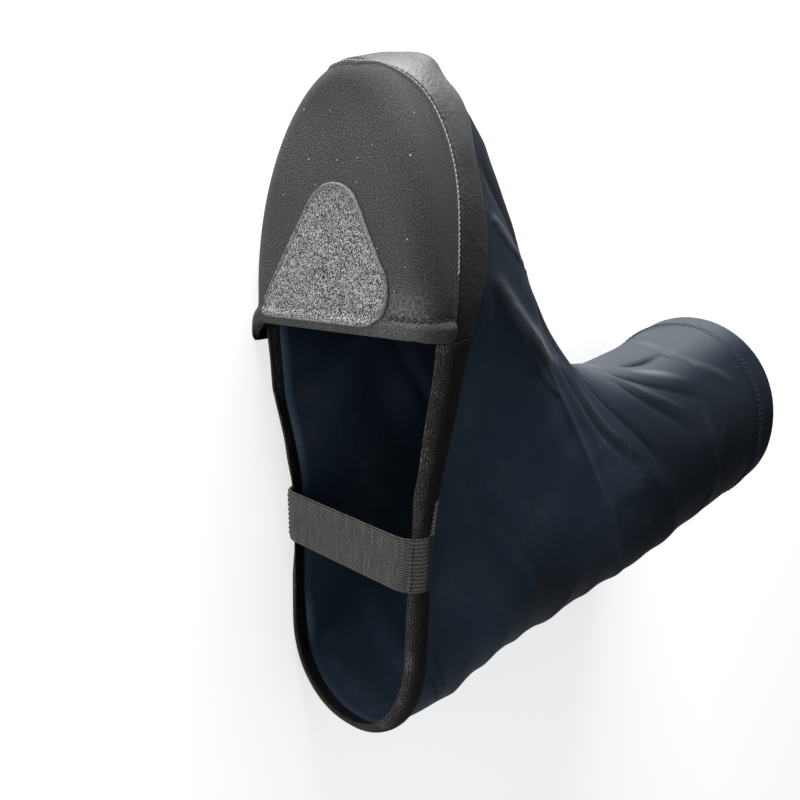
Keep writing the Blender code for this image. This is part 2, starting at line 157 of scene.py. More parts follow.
def form_normal(turn, girth):
    """Outward directions of the form."""
    along = form(turn + NEAR_TURN, girth) - form(turn - NEAR_TURN, girth)
    upward = form(turn, girth + NEAR_GIRTH) - form(turn, girth - NEAR_GIRTH)
    normal = np.cross(upward, along)
    return normal / np.linalg.norm(normal, axis=-1, keepdims=True)


def girth_at(level):
    """The girth of a level on the side of the form."""
    level = np.asarray(level, float)
    in_round = EDGE_RADIUS * np.arccos(np.clip(1 - level / EDGE_RADIUS, -1, 1))
    return np.where(level >= EDGE_RADIUS, EDGE_ARC + level - EDGE_RADIUS, in_round)


def along_shoe(turn):
    """Distance along the shoe at a turn, on the lowest section."""
    return outline(np.full(np.shape(turn), EDGE_RADIUS), turn)[0]


def turn_at(x):
    """The turn on the outer side at a distance along the shoe."""
    back, front = SECTIONS[0, 2:4]
    return np.arccos(np.clip(1 - 2 * (np.asarray(x, float) - back) / (front - back), -1, 1))


def edge_girth(table, turn):
    """The girth of an edge line."""
    return girth_at(through(table, along_shoe(turn))[..., 1])


def resting_floor():
    """A point of the floor and its upward direction, from the three spots that the shoe lies on."""
    def spot(turn, level, offset):
        return form(turn, girth_at(level)) + offset * form_normal(turn, girth_at(level))
    ball = spot(-turn_at(REST_BALL[0]), REST_BALL[1], RAND_OUT)
    heel = spot(-turn_at(REST_HEEL[0]), REST_HEEL[1], BAND_OUT)
    collar = spot(REST_COLLAR_TURN, COLLAR_LEVEL, COLLAR_WALL)
    up = np.cross(collar - heel, ball - heel)
    up = up * math.copysign(1.0, up[1]) / np.linalg.norm(up)
    return ball + PRESS * up, up


FLOOR_POINT, FLOOR_UP = resting_floor()
TOE_WAY = np.array((1.0, 0.0, 0.0)) - FLOOR_UP[0] * FLOOR_UP
TOE_WAY = TOE_WAY / np.linalg.norm(TOE_WAY)
LYING = np.array((-TOE_WAY, np.cross(FLOOR_UP, -TOE_WAY), FLOOR_UP))
LYING_AT = np.array((*HEEL_AT, -MM * float(np.dot(FLOOR_POINT, FLOOR_UP))))


def to_frame(points):
    """Points of the shoe's own frame in the part's frame, in metres."""
    return np.asarray(points, float) * MM @ LYING.T + LYING_AT


def settle(points, offset):
    """Press layers flat where they would sink into the floor."""
    to_rand = ramp(points[..., 0], *BAND_REACH)
    outermost = BAND_OUT + (RAND_OUT - BAND_OUT) * to_rand
    outermost = np.where(points[..., 2] > SHAFT_FROM, COLLAR_WALL, outermost)
    rest = np.maximum(outermost - offset, FLOOR_CLEAR)
    height = (points - FLOOR_POINT) @ FLOOR_UP
    return points + np.maximum(rest - height, 0.0)[..., None] * FLOOR_UP


# Soft dents and swells of the whole toe
DENT_COLUMNS = ("turn", "level", "radius", "depth")
DENTS = ((2.96, 38, 9, 2.2), (2.82, 40, 9, -1.6), (3.45, 38, 17, -1.6), (3.85, 40, 14, 1.0))


def dents(points):
    """How far the dents move points of the form."""
    moved = np.zeros(points.shape[:-1])
    for row in DENTS:
        dent = dict(zip(DENT_COLUMNS, row))
        away = np.linalg.norm(points - form(dent["turn"], girth_at(dent["level"])), axis=-1)
        moved += dent["depth"] * np.exp(-(away / dent["radius"]) ** 2)
    return moved


def layer(turn, girth, offset, lift=0.0):
    """Points of a layer of the lying shoe."""
    base = form(turn, girth)
    return settle(base + (offset + lift + dents(base))[..., None] * form_normal(turn, girth), offset)


# Folds of the cloth, placed one by one: a curve from one spot to another, bent towards a third
ROUND, SHARP = 1.4, 1.0            # a crest's power: 2 gives a round crest and 1 a sharp one
FOLD_COLUMNS = (
    "turn_from", "level_from", "turn_bend", "level_bend", "turn_to", "level_to", "width", "height", "crest",
)
FOLDS = (
    (2.01, 100, 1.88, 128, 1.10, 172, 3.4, 1.6, SHARP),
    (2.02, 33, 1.74, 72, 2.30, 128, 6.5, 2.2, ROUND),
    (2.00, 40, 1.84, 70, 2.08, 104, 2.0, 0.9, SHARP),
    (1.93, 50, 1.78, 84, 2.02, 118, 2.0, 0.9, SHARP),
    (2.20, 36, 2.11, 57, 2.27, 90, 2.2, 2.4, SHARP),
    (2.36, 38, 2.27, 64, 2.46, 102, 7.5, -3.4, ROUND),
    (2.26, 70, 2.34, 100, 2.40, 134, 7.5, -3.4, ROUND),
    (2.20, 112, 2.10, 140, 1.80, 176, 2.6, -1.4, SHARP),
    (2.32, 126, 2.18, 150, 1.86, 186, 3.4, 1.2, ROUND),
    (2.54, 154, 2.28, 170, 1.78, 202, 3.8, -2.6, SHARP),
    (2.82, 186, 2.50, 198, 1.90, 240, 4.8, -3.2, SHARP),
    (2.87, 196, 2.58, 222, 2.12, 262, 5.4, -3.6, SHARP),
    (2.96, 217, 2.84, 242, 2.88, 268, 6.0, -3.4, SHARP),
    (2.87, 263, 2.74, 261, 2.52, 271, 3.8, -2.4, SHARP),
    (2.72, 196, 2.50, 212, 2.10, 246, 4.4, 1.6, ROUND),
    (2.82, 214, 2.66, 234, 2.36, 262, 5.4, 1.8, ROUND),
    (3.35, 276, 2.90, 259, 2.42, 276, 6.0, 1.2, ROUND),
    (2.62, 268, 2.34, 292, 2.08, 300, 6.0, 1.4, ROUND),
    (2.55, 160, 3.14, 182, 3.73, 160, 6.5, -2.2, ROUND),
    (2.45, 190, 3.14, 204, 3.83, 188, 5.5, 1.2, ROUND),
    (1.31, 14, 1.27, 88, 0.74, 98, 3.2, 1.6, ROUND),
    (1.20, 22, 1.08, 56, 0.74, 76, 14.0, 1.3, ROUND),
    (0.84, 15, 0.78, 20, 0.50, 33, 1.6, -2.0, SHARP),
    (0.70, 14, 0.62, 24, 0.36, 34, 1.6, -2.0, SHARP),
    (1.60, 24, 1.30, 30, 1.05, 60, 4.0, 0.9, ROUND),
    (1.30, 150, 0.80, 196, 0.20, 186, 6.5, 1.6, ROUND),
    (1.75, 190, 1.10, 236, 0.40, 224, 7.5, 1.7, ROUND),
    (1.80, 250, 1.20, 272, 0.60, 258, 8.0, 1.5, ROUND),
    (-0.30, 30, 0.35, 50, 0.55, 60, 22.0, 2.6, ROUND),
    (-0.75, 46, 0.05, 56, 0.70, 43, 5.5, 1.5, ROUND),
    (-0.70, 72, 0.00, 64, 0.85, 78, 6.0, 1.7, ROUND),
    (-0.80, 96, 0.10, 108, 0.70, 92, 6.0, 1.8, ROUND),
    (-0.70, 128, 0.00, 120, 0.90, 134, 6.5, 2.0, ROUND),
    (-0.90, 160, 0.05, 170, 0.80, 156, 6.5, 2.0, ROUND),
    (-0.80, 196, 0.00, 190, 0.80, 208, 7.0, 2.0, ROUND),
    (-0.85, 236, 0.00, 246, 0.90, 232, 7.0, 1.8, ROUND),
    (-0.80, 282, 0.10, 274, 0.80, 290, 7.5, 1.6, ROUND),
    (4.34, 38, 4.28, 118, 5.10, 165, 6.0, 2.2, ROUND),
    (4.30, 50, 3.98, 120, 4.24, 158, 4.8, 1.6, ROUND),
    (3.56, 174, 4.10, 140, 4.32, 172, 4.6, 1.5, ROUND),
    (3.58, 180, 4.14, 192, 4.30, 230, 5.0, 1.6, ROUND),
    (3.42, 206, 3.92, 236, 4.18, 262, 5.2, 1.6, ROUND),
    (3.90, 262, 4.30, 290, 4.60, 282, 6.0, 1.8, ROUND),
    (5.00, 20, 5.10, 86, 5.55, 92, 5.0, 1.0, ROUND),
    (4.60, 190, 5.20, 238, 5.90, 226, 7.5, 1.6, ROUND),
    (2.45, 44, 2.75, 74, 3.05, 118, 7.0, 1.2, ROUND),
    (3.84, 44, 3.60, 76, 3.30, 122, 7.0, 1.2, ROUND),
)
FOLD_STEPS = 26
FOLD_TROUGH = 0.34                 # share of a fold's height that its sides dip by
FOLD_EARLY = 0.8                   # under 1, a fold is highest before its middle
COVER_FADE = 9.0                   # folds begin this far above the rand or band
COLLAR_STILL = 0.55                # share of the folds that the collar hem takes out
BROAD_SLACK, BROAD_SLACK_SIZE = 1.3, 46.0
FINE_SLACK, FINE_SLACK_SIZE = 0.35, np.array((15.0, 15.0, 23.0))


def folds(points):
    """How far the folds move points of the cloth."""
    flat = points.reshape(-1, 3).astype(np.float32)
    moved = np.zeros(len(flat), np.float32)
    part = np.linspace(0, 1, FOLD_STEPS)
    for row in FOLDS:
        fold = dict(zip(FOLD_COLUMNS, row))
        weights = (1 - part) ** 2, 2 * part * (1 - part), part ** 2
        turn = sum(w * fold["turn_" + at] for w, at in zip(weights, ("from", "bend", "to")))
        level = sum(w * fold["level_" + at] for w, at in zip(weights, ("from", "bend", "to")))
        line = form(turn, girth_at(level)).astype(np.float32)
        reach = 5 * fold["width"]
        near = np.all((flat > line.min(axis=0) - reach) & (flat < line.max(axis=0) + reach), axis=1)
        spots = flat[near]
        away, at = np.full(len(spots), np.inf), np.zeros(len(spots))
        for step in range(FOLD_STEPS - 1):
            run = line[step + 1] - line[step]
            share = np.clip((spots - line[step]) @ run / (run @ run), 0, 1)
            distance = np.linalg.norm(spots - line[step] - share[:, None] * run, axis=1)
            at = np.where(distance < away, (step + share) / (FOLD_STEPS - 1), at)
            away = np.minimum(away, distance)
        taper = np.sin(np.pi * np.clip(at, 0.02, 0.98) ** FOLD_EARLY) ** 0.7
        share = away / fold["width"]
        ridge = np.exp(-share ** fold["crest"]) - FOLD_TROUGH * np.exp(-(share / 2.3) ** 2)
        moved[near] += fold["height"] * taper * ridge
    return moved.reshape(points.shape[:-1])


def slack(points):
    """Uneven slackness of thin cloth."""
    flat = points.reshape(-1, 3)
    broad = np.array([noise.noise(Vector(p)) for p in flat / BROAD_SLACK_SIZE])
    fine = np.array([noise.noise(Vector(p)) for p in flat / FINE_SLACK_SIZE])
    return (BROAD_SLACK * broad + FINE_SLACK * fine).reshape(points.shape[:-1])


def cloth_lift(turn, girth):
    """Folds and slackness, which die out where the rand or band holds the cloth."""
    base = form(turn, girth)
    cover, collar = edge_girth(COVER_TOP, turn), girth_at(COLLAR_LEVEL)
    free = ramp(girth, cover, cover + COVER_FADE)
    still = COLLAR_STILL * ramp(girth, collar - COLLAR_HEM, collar)
    return free * (folds(base) + slack(base)) * (1 - still)


def link_mesh(name, points, faces, cut, merge=False):
    """An object from points in the shoe's frame; cut holds each point's place on the flat piece."""
    mesh = bpy.data.meshes.new(name)
    mesh.from_pydata(to_frame(points).tolist(), [], faces)
    attribute = mesh.attributes.new("cut", "FLOAT_VECTOR", "POINT")
    attribute.data.foreach_set("vector", np.ascontiguousarray(cut, np.float32).ravel())
    if merge:
        work = bmesh.new()
        work.from_mesh(mesh)
        bmesh.ops.remove_doubles(work, verts=work.verts, dist=2e-6)
        bmesh.ops.dissolve_degenerate(work, edges=work.edges, dist=1e-6)
        bmesh.ops.recalc_face_normals(work, faces=work.faces)
        work.to_mesh(mesh)
        work.free()
    mesh.shade_smooth()
    piece = bpy.data.objects.new(name, mesh)
    bpy.context.scene.collection.objects.link(piece)
    return piece


def wall(name, outer, inner, cut_outer, cut_inner, closed, merge=False):
    """A wall between two grids of (column, row) points, with its edges closed."""
    loops = np.concatenate((outer, inner[:, ::-1]), axis=1)
    cuts = np.concatenate((cut_outer, cut_inner[:, ::-1]), axis=1)
    columns, ring = loops.shape[:2]
    here = np.arange(columns if closed else columns - 1)[:, None] * ring
    there = ((np.arange(columns if closed else columns - 1) + 1) % columns)[:, None] * ring
    row = np.arange(ring)[None, :]
    following = (row + 1) % ring
    quads = np.stack((here + row, here + following, there + following, there + row), axis=-1)
    faces = quads.reshape(-1, 4).tolist()
    if not closed:
        rows = outer.shape[1]
        for start, flip in ((0, False), ((columns - 1) * ring, True)):
            for step in range(rows - 1):
                cap = [start + step, start + ring - 1 - step, start + ring - 2 - step, start + step + 1]
                faces.append(cap[::-1] if flip else cap)
    return link_mesh(name, loops.reshape(-1, 3), faces, cuts.reshape(-1, 3), merge)


class Term:
    """A shader socket that takes part in sums."""

    def __init__(self, finish, socket):
        self.finish = finish
        self.socket = socket

    def math(self, operation, first, second=0.0):
        return self.finish.node("ShaderNodeMath", {"operation": operation}, {0: first, 1: second})

    def __add__(self, other):
        return self.math("ADD", self, other)

    def __sub__(self, other):
        return self.math("SUBTRACT", self, other)

    def __rsub__(self, other):
        return self.math("SUBTRACT", other, self)

    def __mul__(self, other):
        return self.math("MULTIPLY", self, other)

    def __pow__(self, other):
        return self.math("POWER", self, other)

    def sin(self):
        return self.math("SINE", self)

    def above(self, low, high):
        """0 up to low, 1 from high, and an even rise between."""
        sockets = {0: self, 1: low, 2: high, 3: 0.0, 4: 1.0}
        return self.finish.node("ShaderNodeMapRange", {"interpolation_type": "SMOOTHSTEP"}, sockets)

    __radd__ = __add__
    __rmul__ = __mul__


class Finish:
    """A material, and the nodes that are added to it."""

    def __init__(self, name):
        self.material = bpy.data.materials.new(name)
        self.material.use_nodes = True
        self.tree = self.material.node_tree
        self.shader = self.tree.nodes["Principled BSDF"]

    def node(self, kind, settings, sockets, output=0):
        made = self.tree.nodes.new(kind)
        for name, value in settings.items():
            setattr(made, name, value)
        for name, value in sockets.items():
            self.join(made.inputs[name], value)
        return Term(self, made.outputs[output])

    def join(self, socket, value):
        if isinstance(value, Term):
            self.tree.links.new(value.socket, socket)
        else:
            socket.default_value = value

    def set(self, **sockets):
        for name, value in sockets.items():
            self.join(self.shader.inputs[name.replace("_", " ").title().replace("Ior", "IOR")], value)

    def cut(self):
        """Place on the flat piece, in millimetres."""
        return self.node("ShaderNodeAttribute", {"attribute_name": "cut"}, {}, "Vector")

    def split(self, vector):
        """The three values of a vector."""
        first = self.node("ShaderNodeSeparateXYZ", {}, {0: vector})
        return [Term(self, output) for output in first.socket.node.outputs]

    def place(self):
        """Place in the part's frame, in metres."""
        return self.node("ShaderNodeTexCoord", {}, {}, "Object")

    def grain(self, where, scale, detail=2.0, rough=0.5):
        """Cloudy noise about 0.5."""
        sockets = {"Vector": where, "Scale": scale, "Detail": detail, "Roughness": rough}
        return self.node("ShaderNodeTexNoise", {}, sockets)

    def cells(self, where, scale, output, feature="F1"):
        """Scattered cells."""
        sockets = {"Vector": where, "Scale": scale}
        return self.node("ShaderNodeTexVoronoi", {"feature": feature}, sockets, output)

    def mix(self, factor, first, second):
        """A colour between two."""
        sockets = {0: factor, 6: first, 7: second}
        return self.node("ShaderNodeMix", {"data_type": "RGBA"}, sockets, 2)

    def bump(self, height, distance, strength=1.0, under=None):
        """A bumped normal from a height of 0 to 1, on top of another."""
        sockets = {"Strength": strength, "Distance": distance, "Height": height}
        if under is not None:
            sockets["Normal"] = under
        return self.node("ShaderNodeBump", {}, sockets)


def rgb(red, green, blue):
    """A colour with full alpha."""
    return (red, green, blue, 1.0)


def coated_cloth():
    """Navy nylon with a satin waterproof coating, with painted shade on the shaft, the back and the vamp,
    painted highlights on the shin and the fold crests, and painted shade in the fold valleys.
    """
    finish = Finish("coated_cloth")
    across, up, crest = finish.split(finish.cut())
    weave = (across * 9.0).sin() * (up * 9.0).sin()
    place = finish.place()
    clouds = finish.grain(place, 24.0, 3.0)
    rub = finish.grain(place, 120.0, 4.0, 0.65)
    scuff = (rub * clouds + 0.05 * (1 - up.above(25.0, 75.0))).above(0.30, 0.42)
    crumple = finish.grain(place, 160.0, 3.0, 0.55)
    shaft = finish.split(place)[1].above(-0.04, 0.05)
    front = across.above(98.0, 116.0)
    back = (1 - across.above(45.0, 85.0)) * up.above(50.0, 120.0)
    vamp = front * (1 - up.above(80.0, 140.0))
    valley = (0 - crest).above(0.45, 2.4)
    far = across.above(127.0, 138.0) * (1 - up.above(125.0, 165.0))
    shin = across.above(134.0, 166.0) * up.above(150.0, 195.0)
    navy = finish.mix(clouds.above(0.35, 0.7), rgb(0.0205, 0.0365, 0.0600), rgb(0.0260, 0.0440, 0.0700))
    # painted shade: the shaft, the back, the front of the vamp and its far face are darkened as if in shade
    painted_shade = 1 - (1 - 0.97 * shaft) * (1 - 0.92 * back) * (1 - 0.74 * front) * (1 - 0.80 * far)
    navy = finish.mix(painted_shade, navy, rgb(0.0035, 0.0068, 0.0120))
    # painted highlight: the shin is lightened to a grey sheen
    navy = finish.mix(shin * 0.70, navy, rgb(0.050, 0.058, 0.069))
    # painted highlights along the fold crests, on the front and on the side
    crest_highlight = crest.above(0.1, 1.8) * front * (1 - far) * (0.25 + 0.60 * (vamp + shin).above(0.0, 0.8))
    navy = finish.mix(crest_highlight, navy, rgb(0.125, 0.137, 0.152))
    side_crest_highlight = crest.above(0.10, 1.1) * (1 - front) * (1 - shaft)
    navy = finish.mix(side_crest_highlight * 0.6, navy, rgb(0.037, 0.047, 0.054))
    # painted shade in the fold valleys
    navy = finish.mix(valley * 0.95, navy, rgb(0.0030, 0.0055, 0.0095))
    finish.set(base_color=finish.mix(scuff * (0.40 - 0.30 * shaft), navy, rgb(0.050, 0.060, 0.070)))
    dull = 0.12 * shaft + 0.22 * front * (1 - shin)
    finish.set(roughness=0.68 - 0.24 * shin * (1 - valley) + dull + 0.16 * valley + 0.10 * clouds)
    finish.set(specular_ior_level=0.15)
    soft = finish.bump(crumple, 0.0004, 0.40)
    finish.set(normal=finish.bump(weave * 0.5 + 0.5, 0.00006, 0.5, soft))
    return finish.material


def own(piece, finish, slot, *nodes):
    """Give a piece its finish, fix it to the part, and hide the solids it stands for. The slot is not used.
    """
    piece.data.materials.append(finish)
    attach(piece, "root")
    if nodes:
        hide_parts(*nodes)


UPPER_COLUMNS, UPPER_ROWS, LINING_ROWS = 288, 196, 64
COLLAR_ROUND_STEPS = 6
CLOTH_SPREAD = 58.0                # millimetres of cloth for each radian round the shoe
turn = np.linspace(0, 2 * math.pi, UPPER_COLUMNS, endpoint=False)[:, None]
foot = edge_girth(UPPER_FOOT, turn) + SEAT_GAP
collar = float(girth_at(COLLAR_LEVEL))
collar_radius = COLLAR_WALL / 2
girth = foot + (collar - collar_radius - foot) * np.linspace(0, 1, UPPER_ROWS)[None, :]
hem_from = float(girth_at(COLLAR_LEVEL - COLLAR_HEM))
hem_step = ramp(girth, hem_from, hem_from + COLLAR_HEM_STEP)
outer = layer(turn, girth, UPPER_WALL + (COLLAR_WALL - UPPER_WALL) * hem_step, cloth_lift(turn, girth))
round_angle = np.linspace(0, math.pi, COLLAR_ROUND_STEPS + 2)[None, 1:-1]
rim_girth = collar - collar_radius + collar_radius * np.sin(round_angle) + 0 * turn
rim_offset = collar_radius + collar_radius * np.cos(round_angle) + 0 * turn
outer = np.concatenate((outer, layer(turn, rim_girth, rim_offset, cloth_lift(turn, rim_girth))), axis=1)
from_back = CLOTH_SPREAD * np.minimum(turn, 2 * math.pi - turn)
# the third value is the folds' height, which the cloth's colour uses for painted highlights on crests and
# painted shade in valleys
cut = np.stack((from_back + 0 * girth, girth, folds(form(turn, girth))), axis=-1)
rim_cut = np.stack((from_back + 0 * rim_girth, rim_girth, 0 * rim_girth), axis=-1)
cut = np.concatenate((cut, rim_cut), axis=1)
lining_girth = foot + (collar - collar_radius - foot) * np.linspace(0, 1, LINING_ROWS)[None, :]
inner = layer(turn, lining_girth, 0.0 * lining_girth, cloth_lift(turn, lining_girth))
lining_cut = np.stack((from_back + 0 * lining_girth, lining_girth, 0 * lining_girth), axis=-1)
upper = wall("upper_cloth", outer, inner, cut, lining_cut, closed=True)
own(upper, coated_cloth(), "coated_cloth", "upper")

# Toe rand
# The rand is a crescent of smooth black synthetic leather round the toe and the sides of the forefoot.
# It is laid over the upper and sewn into the sole seam, with a fine second line of sewing above it.
RAND_COLUMNS, RAND_ROWS = 220, 26
RAND_EDGE_ROUND, RAND_EDGE = 1.5, 0.2
RAND_SPREAD = 70.0                 # millimetres of leather for each radian round the toe
RAND_LINE_AT, RAND_LINE_DEPTH, RAND_LINE_WIDTH = 2.4, 0.20, 0.45
HEM_TURN = float(turn_at(HEM_AT))


def round_edges(share, width, radius):
    """Height of a strip with round edges, 0 at its edges and 1 on its face."""
    return end_cap(np.minimum(share, 1 - share) * width, radius, 2)


def rand_leather():
    """Smooth black synthetic leather with a fine pebbled grain, dulled towards its ends and darkened there
    as painted shade.
    """
    finish = Finish("rand_skin")
    cut, place = finish.cut(), finish.place()
    round_toe = finish.split(cut)[0]
    ends = 1 - round_toe.above(142.0, 178.0) * (1 - round_toe.above(262.0, 298.0))
    pebble = finish.cells(cut, 1.5, "Distance", "SMOOTH_F1")
    crinkle = finish.grain(place, 520.0, 3.0, 0.6)
    crumple = finish.grain(place, 60.0, 2.0, 0.5)
    wear = finish.grain(place, 45.0, 3.0)
    black = finish.mix(wear.above(0.4, 0.75), rgb(0.0240, 0.0245, 0.0252), rgb(0.0380, 0.0388, 0.0398))
    # painted shade: the leather is darkened towards both ends of the rand
    finish.set(base_color=finish.mix(ends * 0.9, black, rgb(0.0025, 0.0025, 0.0026)))
    finish.set(roughness=0.44 + 0.16 * wear + 0.20 * ends)
    finish.set(specular_ior_level=0.36)
    soft = finish.bump(crinkle, 0.0006, 0.6, finish.bump(crumple, 0.0014, 0.5))
    finish.set(normal=finish.bump(pebble, 0.00014, 0.4, soft))
    return finish.material


turn = np.linspace(HEM_TURN, 2 * math.pi - HEM_TURN, RAND_COLUMNS)[:, None]
low, high = edge_girth(UPPER_FOOT, turn) + SEAT_GAP, edge_girth(COVER_TOP, turn)
share = ((1 - np.cos(np.linspace(0, math.pi, RAND_ROWS))) / 2)[None, :]
girth = low + (high - low) * share
rise = round_edges(share, high - low, RAND_EDGE_ROUND)
line = RAND_LINE_DEPTH * np.exp(-(((girth - low) - RAND_LINE_AT) / RAND_LINE_WIDTH) ** 2)
outer = layer(turn, girth, COVER_IN + RAND_EDGE + (RAND_OUT - COVER_IN - RAND_EDGE) * rise - line)
inner = layer(turn, girth, COVER_IN + 0 * girth)
cut = np.stack((RAND_SPREAD * turn + 0 * girth, girth, 0 * girth), axis=-1)
rand = wall("toe_rand_skin", outer, inner, cut, cut, closed=False)
own(rand, rand_leather(), "rand_skin", "toe_rand")

# Half sole
# The half sole is a tray of charcoal knit-faced foam rubber under the forefoot.
# Its edge is turned up and sewn to the rand along a raised lip, and behind the ball it ends in a
# rolled hem that is sewn down with a dark thread.
SOLE_WALL, SOLE_HEM_SWELL, SOLE_LIP = 2.6, 1.8, 3.2
HEM_ROUND = 2.2
HEM_STITCH_AT, HEM_STITCH_PITCH = 203.0, 3.4
HEM_PULL, HEM_PULL_WIDTH = 0.7, 1.3
HEM_ROLLED, HEM_CURLED = (204.5, 199.5), (205.0, 198.0)     # where roll and curl set in and are full
HEM_FREE = (0.0, 5.0)              # girths over which the hem's ends come free of the underside
HEM_CURL_LAT, HEM_CURL_MED = 0.6, 1.2     # how far the hem's ends curl outwards
HEM_HANG, HEM_HANG_OFF, HEM_HANG_FROM = 8.5, 3.8, 13.0     # the inner end hangs back and stands off
LIP_ROUND, LIP_WIDTH, LIP_FALL, LIP_EDGE = 0.9, 2.9, 1.2, 0.108
SIDE_ROWS, ACROSS_ROWS, SOLE_RUNGS, HEM_EDGE_RUNGS, HEM_RUNGS = 26, 78, 116, 8, 18


def hem_edge(x):
    """How far the rolled rear edge has opened, from 0 at the edge to 1."""
    return end_cap(x - HEM_AT, HEM_ROUND, 2)


def sole_offset(x):
    """Outer offset of the half sole along the shoe, with its hem and the pull of the hem's sewing."""
    roll = ramp(x, *HEM_ROLLED)
    pull = HEM_PULL * np.exp(-((x - HEM_STITCH_AT) / HEM_PULL_WIDTH) ** 2)
    plain = SOLE_WALL + SOLE_HEM_SWELL * roll - pull
    return HEM_ROUND + (plain - HEM_ROUND) * hem_edge(x)


def sole_inside(x):
    """Inner offset, which turns out to meet the rolled edge."""
    return HEM_ROUND * (1 - hem_edge(x))


def under(x, y, offset):
    """Points of a layer of the flat underside."""
    slope = 2 * TOE_SPRING * np.maximum(x - SPRING_START, 0.0) / (SPRING_END - SPRING_START) ** 2
    normal = np.stack((slope, 0 * slope, -1 + 0 * slope), axis=-1) / np.hypot(slope, 1.0)[..., None]
    return settle(np.stack((x, y, spring(x)), axis=-1) + offset[..., None] * normal, offset)


def sole_side(turn, inside, inner):
    """Lines down one side of the half sole, from the seam to the underside."""
    seam = edge_girth(UPPER_FOOT, turn)
    share = (np.linspace(0, 1, SIDE_ROWS) ** 1.6)[None, :]
    girth = seam * (1 - share)
    depth = seam - girth
    x = along_shoe(turn)
    hang = 0 * girth
    if inner:
        hang = ramp(x, HEM_AT + HEM_HANG_FROM, HEM_AT) * ramp(girth, *HEM_FREE) * ramp(depth, -0.6, 1.4)
        turn = 2 * math.pi - turn_at(x - HEM_HANG * hang)
    if inside:
        return layer(turn, girth, sole_inside(x) + HEM_HANG_OFF * hang)
    lip = end_cap(depth, LIP_ROUND, 2) * ramp(depth, LIP_WIDTH, LIP_WIDTH - LIP_FALL)
    plain = sole_offset(x)
    edge = end_cap(np.maximum(depth, LIP_EDGE), LIP_ROUND, 2)
    curl = ramp(x, *HEM_CURLED) * ramp(girth, *HEM_FREE) * ramp(depth, 0.0, 2.0)
    curl = curl * (HEM_CURL_MED if inner else HEM_CURL_LAT) + HEM_HANG_OFF * hang
    return layer(turn, girth, plain * edge + np.maximum(SOLE_LIP - plain, 0.0) * lip + curl)


def sole_grid(turns, inside):
    """Lines across the half sole, from the outer seam over the underside to the inner seam."""
    turns = turns[:, None]
    outer_side = sole_side(turns, inside, False)
    inner_side = sole_side(2 * math.pi - turns, inside, True)
    ends = form(turns[:, 0], 0.0), form(2 * math.pi - turns[:, 0], 0.0)
    share = np.linspace(0, 1, ACROSS_ROWS)[None, 1:-1, None]
    flat = ends[0][:, None] + (ends[1] - ends[0])[:, None] * share
    offset = sole_inside(flat[..., 0]) if inside else sole_offset(flat[..., 0])
    across = under(flat[..., 0], flat[..., 1], offset)
    across[-1] = outer_side[-1, -1]
    return np.concatenate((outer_side, across, inner_side[:, ::-1]), axis=1)


def run_along(points):
    """Distances along lines of points, from 0 at their start."""
    steps = np.linalg.norm(np.diff(points, axis=-2), axis=-1)
    return np.concatenate((0 * steps[..., :1], np.cumsum(steps, axis=-1)), axis=-1)


def unrolled(grid):
    """Places on the flat piece: along the shoe, and measured round the lines from their middle."""
    run = run_along(grid)
    middle = run[:, run.shape[1] // 2][:, None]
    return np.stack((grid[..., 0], middle - run, 0 * run), axis=-1)


def dusty_knit():
    """Matt charcoal knit over foam, with lint, dust rubbed in beside the hem, and painted shade towards the
    outer edge, the toe and in the hem's stitch holes.
    """
    finish = Finish("sole_knit")
    place = finish.cut()
    along, across = finish.split(place)[:2]
    hatch = ((along + across) * 3.3).sin() * ((along - across) * 3.3).sin()
    fleck = finish.grain(place, 1.9, 2.0, 0.75)
    clouds = finish.grain(place, 0.035, 3.0)
    lint = finish.cells(place, 0.19, "Distance")
    size = finish.split(finish.cells(place, 0.19, "Color"))[0]
    specks = (1 - lint.above(0.05, 0.10)) * size.above(0.25, 0.85)
    dots = (1 - finish.cells(place, 0.55, "Distance").above(0.12, 0.22)) * fleck.above(0.40, 0.60)
    beside = (1 - along.above(207.0, 220.0)) * across.above(10.0, 30.0) * (1 - across.above(46.0, 60.0))
    beside = beside * (0.35 + 0.65 * along.above(199.0, 204.0))
    rubbed = beside * finish.grain(place, 0.60, 4.0, 0.80).above(0.42, 0.64)
    tone = (fleck + hatch * 0.02).above(0.435, 0.585)
    charcoal = finish.mix(tone, rgb(0.003, 0.003, 0.003), rgb(0.088, 0.088, 0.089))
    charcoal = finish.mix(clouds.above(0.3, 0.7) * 0.30, charcoal, rgb(0.026, 0.026, 0.026))
    charcoal = finish.mix(dots * 0.55, charcoal, rgb(0.15, 0.15, 0.15))
    # painted shade towards the outer edge and the toe
    shade = 1 - (1 - 0.42 * across.above(34.0, 60.0)) * (1 - 0.40 * along.above(276.0, 302.0))
    charcoal = finish.mix(shade, charcoal, rgb(0.010, 0.010, 0.010))
    charcoal = finish.mix(rubbed * 0.52, charcoal, rgb(0.20, 0.194, 0.186))
    # painted shade in the stitch holes of the hem row
    from_row = along - HEM_STITCH_AT
    dashes = (across * (2 * math.pi / HEM_STITCH_PITCH)).sin().above(-0.3, 0.3) * across.above(31.0, 34.0)
    holes = (1 - (from_row * from_row).above(0.3, 1.6)) * dashes
    charcoal = finish.mix(holes * 0.9, charcoal, rgb(0.002, 0.002, 0.002))
    finish.set(base_color=finish.mix(specks * 0.8, charcoal, rgb(0.40, 0.40, 0.39)))
    finish.set(roughness=0.86 + 0.10 * fleck)
    finish.set(specular_ior_level=0.2, sheen_weight=0.04, sheen_roughness=0.6)
    knit = finish.bump(hatch * 0.5 + 0.5, 0.00008, 0.4)
    finish.set(normal=finish.bump(fleck, 0.00035, 0.6, knit))
    return finish.material


